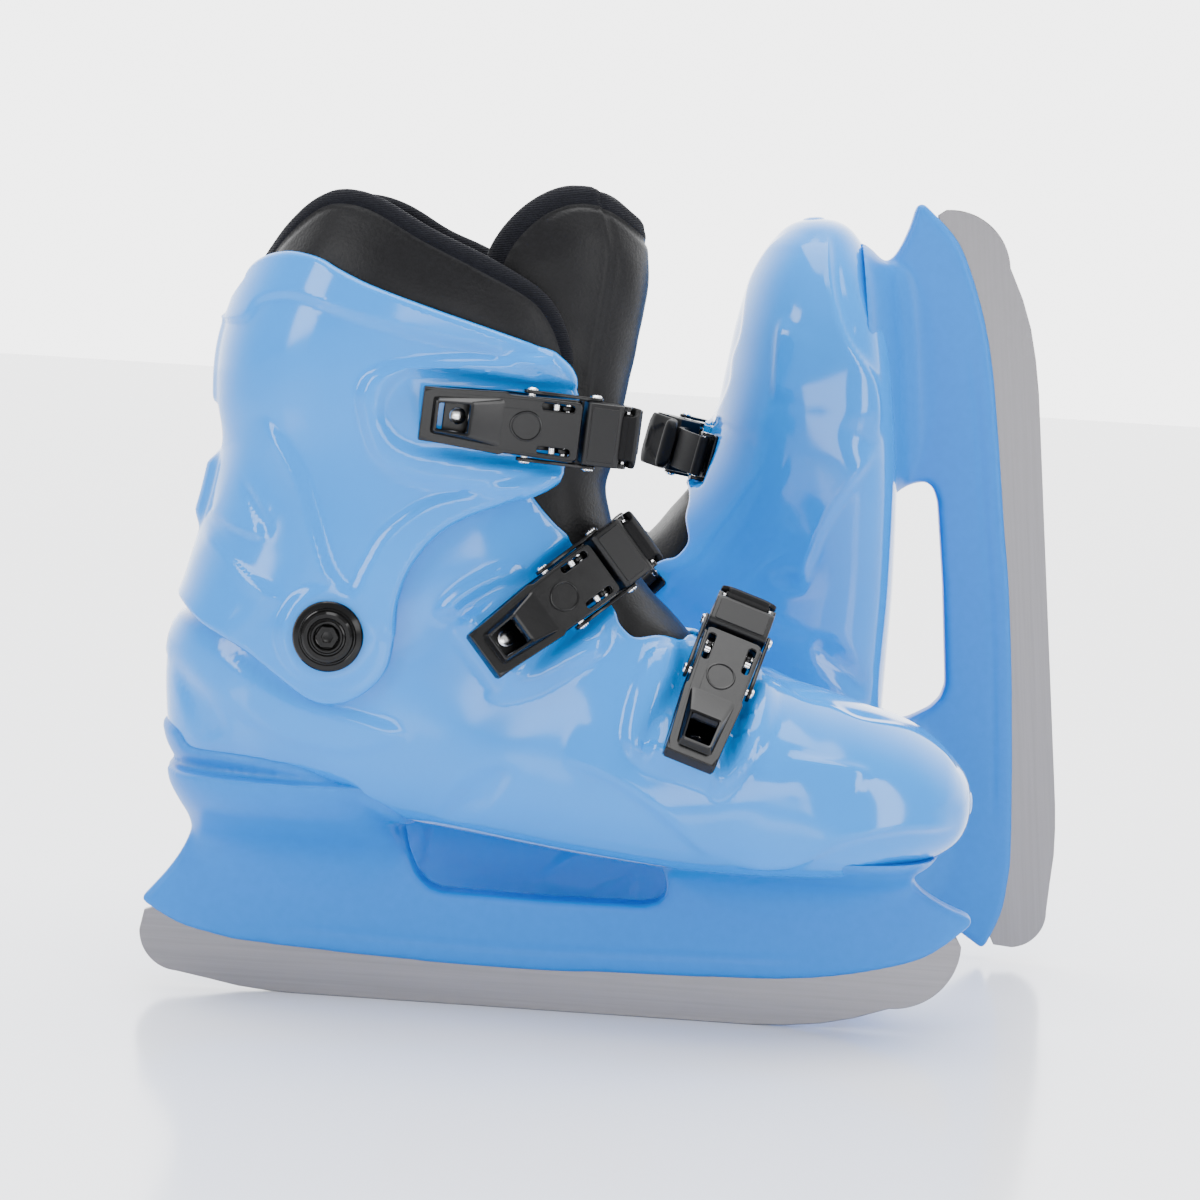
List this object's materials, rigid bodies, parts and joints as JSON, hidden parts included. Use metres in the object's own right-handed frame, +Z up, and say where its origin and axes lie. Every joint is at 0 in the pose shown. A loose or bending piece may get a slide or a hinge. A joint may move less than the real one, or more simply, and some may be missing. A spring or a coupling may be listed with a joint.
{
  "type": "pair of ice skates",
  "caption": "Pair of hard-shell ice skates with hinged cuffs, lever buckles, soft inner boots and steel blades; one stands, the other is tipped back on its heel.",
  "frame": {"origin": "the middle of the flat running edge of the right skate's blade, on the ice", "axes": "+X towards the right skate's toe, +Z up, +Y towards the left skate, so the right skate's outer side faces -Y"},
  "size_m": [0.354, 0.2758, 0.3092],
  "materials": {
    "shell_blue": "glossy moulded plastic",
    "holder_blue": "satin moulded plastic",
    "blade_steel": "ground stainless steel",
    "bright_steel": "bright steel fasteners",
    "cap_black": "glossy black plastic",
    "liner_leather": "fine-grained synthetic leather with a ribbed textile binding",
    "insole_felt": "needle felt",
    "buckle_steel": "black powder-coated steel",
    "link_steel": "black steel with bright rivet heads",
    "strap_plastic": "black nylon",
    "tab_rubber": "matt black rubbery plastic"
  },
  "bodies": {
    "right_boot": {"right_shell": "shell_blue", "right_blade_holder": "holder_blue", "right_blade": "blade_steel", "right_sole_rivets": "bright_steel", "right_pivot_caps": "cap_black", "right_pivot_nuts": "bright_steel", "right_liner_boot": "liner_leather", "right_tongue": "liner_leather", "right_insole": "insole_felt", "right_instep_buckle_base": "buckle_steel", "right_toe_buckle_base": "buckle_steel"},
    "right_cuff": {"right_cuff": "shell_blue", "right_liner_collar": "liner_leather", "right_tongue_top": "liner_leather", "right_cuff_buckle_base": "buckle_steel"},
    "right_cuff_lever": {"right_cuff_buckle_lever": "buckle_steel"},
    "right_cuff_links": {"right_cuff_buckle_links": "link_steel"},
    "right_cuff_strap": {"right_cuff_strap": "strap_plastic", "right_cuff_buckle_head": "buckle_steel"},
    "right_cuff_tab": {"right_cuff_buckle_tab": "tab_rubber"},
    "right_instep_lever": {"right_instep_buckle_lever": "buckle_steel"},
    "right_instep_links": {"right_instep_buckle_links": "link_steel"},
    "right_instep_strap": {"right_instep_strap": "strap_plastic", "right_instep_buckle_head": "buckle_steel"},
    "right_instep_tab": {"right_instep_buckle_tab": "tab_rubber"},
    "right_toe_lever": {"right_toe_buckle_lever": "buckle_steel"},
    "right_toe_links": {"right_toe_buckle_links": "link_steel"},
    "right_toe_strap": {"right_toe_strap": "strap_plastic", "right_toe_buckle_head": "buckle_steel"},
    "right_toe_tab": {"right_toe_buckle_tab": "tab_rubber"},
    "left_boot": {"left_shell": "shell_blue", "left_blade_holder": "holder_blue", "left_blade": "blade_steel", "left_sole_rivets": "bright_steel", "left_pivot_caps": "cap_black", "left_pivot_nuts": "bright_steel", "left_liner_boot": "liner_leather", "left_tongue": "liner_leather", "left_insole": "insole_felt", "left_instep_buckle_base": "buckle_steel", "left_toe_buckle_base": "buckle_steel"},
    "left_cuff": {"left_cuff": "shell_blue", "left_liner_collar": "liner_leather", "left_tongue_top": "liner_leather", "left_cuff_buckle_base": "buckle_steel"},
    "left_cuff_lever": {"left_cuff_buckle_lever": "buckle_steel"},
    "left_cuff_links": {"left_cuff_buckle_links": "link_steel"},
    "left_cuff_strap": {"left_cuff_strap": "strap_plastic", "left_cuff_buckle_head": "buckle_steel"},
    "left_cuff_tab": {"left_cuff_buckle_tab": "tab_rubber"},
    "left_instep_lever": {"left_instep_buckle_lever": "buckle_steel"},
    "left_instep_links": {"left_instep_buckle_links": "link_steel"},
    "left_instep_strap": {"left_instep_strap": "strap_plastic", "left_instep_buckle_head": "buckle_steel"},
    "left_instep_tab": {"left_instep_buckle_tab": "tab_rubber"},
    "left_toe_lever": {"left_toe_buckle_lever": "buckle_steel"},
    "left_toe_links": {"left_toe_buckle_links": "link_steel"},
    "left_toe_strap": {"left_toe_strap": "strap_plastic", "left_toe_buckle_head": "buckle_steel"},
    "left_toe_tab": {"left_toe_buckle_tab": "tab_rubber"}
  },
  "joints": [
    {"name": "left_skate_lift", "type": "slide", "parent": "right_boot", "child": "left_boot", "axis": [0, 0, 1], "range_m": [0, 0.35]},
    {"name": "right_cuff_flex", "type": "hinge", "parent": "right_boot", "child": "right_cuff", "pos_m": [-0.082, 0, 0.141], "axis": [0, 1, 0], "range_deg": [-2, 4]},
    {"name": "right_cuff_lever_hinge", "type": "hinge", "parent": "right_cuff", "child": "right_cuff_lever", "pos_m": [-0.002, -0.0505, 0.219], "axis": [0.0698, 0, 0.9976], "range_deg": [0, 120]},
    {"name": "right_cuff_links_hinge", "type": "hinge", "parent": "right_cuff_lever", "child": "right_cuff_links", "pos_m": [-0.01541, -0.05194, 0.21994], "axis": [-0.0698, 0, -0.9976], "range_deg": [0, 81.4]},
    {"name": "right_cuff_strap_hinge", "type": "hinge", "parent": "right_cuff", "child": "right_cuff_strap", "pos_m": [-0.01167, 0.04866, 0.21968], "axis": [0.0698, 0, 0.9976], "range_deg": [0, 9.2]},
    {"name": "right_cuff_tab_hinge", "type": "hinge", "parent": "right_cuff_strap", "child": "right_cuff_tab", "pos_m": [0.01866, -0.04947, 0.21755], "axis": [-0.0698, 0, -0.9976], "range_deg": [0, 35], "stiffness_Nm_per_rad": 0.002},
    {"name": "right_instep_lever_hinge", "type": "hinge", "parent": "right_boot", "child": "right_instep_lever", "pos_m": [0.0095, -0.037, 0.1675], "axis": [-0.6334, 0, 0.7738], "range_deg": [0, 120]},
    {"name": "right_instep_links_hinge", "type": "hinge", "parent": "right_instep_lever", "child": "right_instep_links", "pos_m": [-0.00023, -0.04198, 0.15954], "axis": [0.6334, 0, -0.7738], "range_deg": [0, 94.8]},
    {"name": "right_instep_strap_hinge", "type": "hinge", "parent": "right_boot", "child": "right_instep_strap", "pos_m": [0.0082, 0.03736, 0.16643], "axis": [-0.6334, 0, 0.7738], "range_deg": [0, 15]},
    {"name": "right_instep_tab_hinge", "type": "hinge", "parent": "right_instep_strap", "child": "right_instep_tab", "pos_m": [0.02473, -0.03047, 0.17997], "axis": [0.6334, 0, -0.7738], "range_deg": [0, 35], "stiffness_Nm_per_rad": 0.002},
    {"name": "right_toe_lever_hinge", "type": "hinge", "parent": "right_boot", "child": "right_toe_lever", "pos_m": [0.06, -0.03, 0.1425], "axis": [-0.9483, 0, 0.3173], "range_deg": [0, 120]},
    {"name": "right_toe_links_hinge", "type": "hinge", "parent": "right_toe_lever", "child": "right_toe_links", "pos_m": [0.05665, -0.03844, 0.13248], "axis": [0.9483, 0, -0.3173], "range_deg": [0, 101.7]},
    {"name": "right_toe_strap_hinge", "type": "hinge", "parent": "right_boot", "child": "right_toe_strap", "pos_m": [0.05901, 0.01966, 0.13953], "axis": [-0.9483, 0, 0.3173], "range_deg": [0, 25.6]},
    {"name": "right_toe_tab_hinge", "type": "hinge", "parent": "right_toe_strap", "child": "right_toe_tab", "pos_m": [0.06537, -0.018, 0.15854], "axis": [0.9483, 0, -0.3173], "range_deg": [0, 35], "stiffness_Nm_per_rad": 0.002},
    {"name": "left_cuff_flex", "type": "hinge", "parent": "left_boot", "child": "left_cuff", "pos_m": [0.05859, 0.145, 0.06256], "axis": [0, 1, 0], "range_deg": [-2, 4]},
    {"name": "left_cuff_lever_hinge", "type": "hinge", "parent": "left_cuff", "child": "left_cuff_lever", "pos_m": [-0.02797, 0.1955, 0.13322], "axis": [0.999, 0, 0.0436], "range_deg": [0, 120]},
    {"name": "left_cuff_links_hinge", "type": "hinge", "parent": "left_cuff_lever", "child": "left_cuff_links", "pos_m": [-0.02738, 0.19694, 0.11979], "axis": [-0.999, 0, -0.0436], "range_deg": [0, 81.4]},
    {"name": "left_cuff_strap_hinge", "type": "hinge", "parent": "left_cuff", "child": "left_cuff_strap", "pos_m": [-0.02754, 0.09634, 0.12353], "axis": [0.999, 0, 0.0436], "range_deg": [0, 9.2]},
    {"name": "left_cuff_tab_hinge", "type": "hinge", "parent": "left_cuff_strap", "child": "left_cuff_tab", "pos_m": [-0.02887, 0.19447, 0.15391], "axis": [-0.999, 0, -0.0436], "range_deg": [0, 35], "stiffness_Nm_per_rad": 0.002},
    {"name": "left_instep_lever_hinge", "type": "hinge", "parent": "left_boot", "child": "left_instep_lever", "pos_m": [0.0219, 0.182, 0.15048], "axis": [0.6972, 0, 0.7169], "range_deg": [0, 120]},
    {"name": "left_instep_links_hinge", "type": "hinge", "parent": "left_instep_lever", "child": "left_instep_links", "pos_m": [0.03092, 0.18698, 0.14171], "axis": [-0.6972, 0, -0.7169], "range_deg": [0, 94.8]},
    {"name": "left_instep_strap_hinge", "type": "hinge", "parent": "left_boot", "child": "left_instep_strap", "pos_m": [0.02311, 0.10764, 0.1493], "axis": [0.6972, 0, 0.7169], "range_deg": [0, 15]},
    {"name": "left_instep_tab_hinge", "type": "hinge", "parent": "left_instep_strap", "child": "left_instep_tab", "pos_m": [0.00779, 0.17547, 0.1642], "axis": [-0.6972, 0, -0.7169], "range_deg": [0, 35], "stiffness_Nm_per_rad": 0.002},
    {"name": "left_toe_lever_hinge", "type": "hinge", "parent": "left_boot", "child": "left_toe_lever", "pos_m": [0.04102, 0.175, 0.20348], "axis": [0.2079, 0, 0.9781], "range_deg": [0, 120]},
    {"name": "left_toe_links_hinge", "type": "hinge", "parent": "left_toe_lever", "child": "left_toe_links", "pos_m": [0.05136, 0.18344, 0.20129], "axis": [-0.2079, 0, -0.9781], "range_deg": [0, 101.7]},
    {"name": "left_toe_strap_hinge", "type": "hinge", "parent": "left_boot", "child": "left_toe_strap", "pos_m": [0.04409, 0.12534, 0.20283], "axis": [0.2079, 0, 0.9781], "range_deg": [0, 25.6]},
    {"name": "left_toe_tab_hinge", "type": "hinge", "parent": "left_toe_strap", "child": "left_toe_tab", "pos_m": [0.02448, 0.163, 0.207], "axis": [-0.2079, 0, -0.9781], "range_deg": [0, 35], "stiffness_Nm_per_rad": 0.002}
  ],
  "couplings": [
    {"joint": "right_cuff_links_hinge", "follows": "right_cuff_lever_hinge", "ratio": 0.6742},
    {"joint": "right_cuff_strap_hinge", "follows": "right_cuff_lever_hinge", "ratio": 0.07258},
    {"joint": "right_instep_links_hinge", "follows": "right_instep_lever_hinge", "ratio": 0.78598},
    {"joint": "right_instep_strap_hinge", "follows": "right_instep_lever_hinge", "ratio": 0.12058},
    {"joint": "right_toe_links_hinge", "follows": "right_toe_lever_hinge", "ratio": 0.84357},
    {"joint": "right_toe_strap_hinge", "follows": "right_toe_lever_hinge", "ratio": 0.20925},
    {"joint": "left_cuff_links_hinge", "follows": "left_cuff_lever_hinge", "ratio": 0.6742},
    {"joint": "left_cuff_strap_hinge", "follows": "left_cuff_lever_hinge", "ratio": 0.07258},
    {"joint": "left_instep_links_hinge", "follows": "left_instep_lever_hinge", "ratio": 0.78598},
    {"joint": "left_instep_strap_hinge", "follows": "left_instep_lever_hinge", "ratio": 0.12058},
    {"joint": "left_toe_links_hinge", "follows": "left_toe_lever_hinge", "ratio": 0.84357},
    {"joint": "left_toe_strap_hinge", "follows": "left_toe_lever_hinge", "ratio": 0.20925}
  ]
}
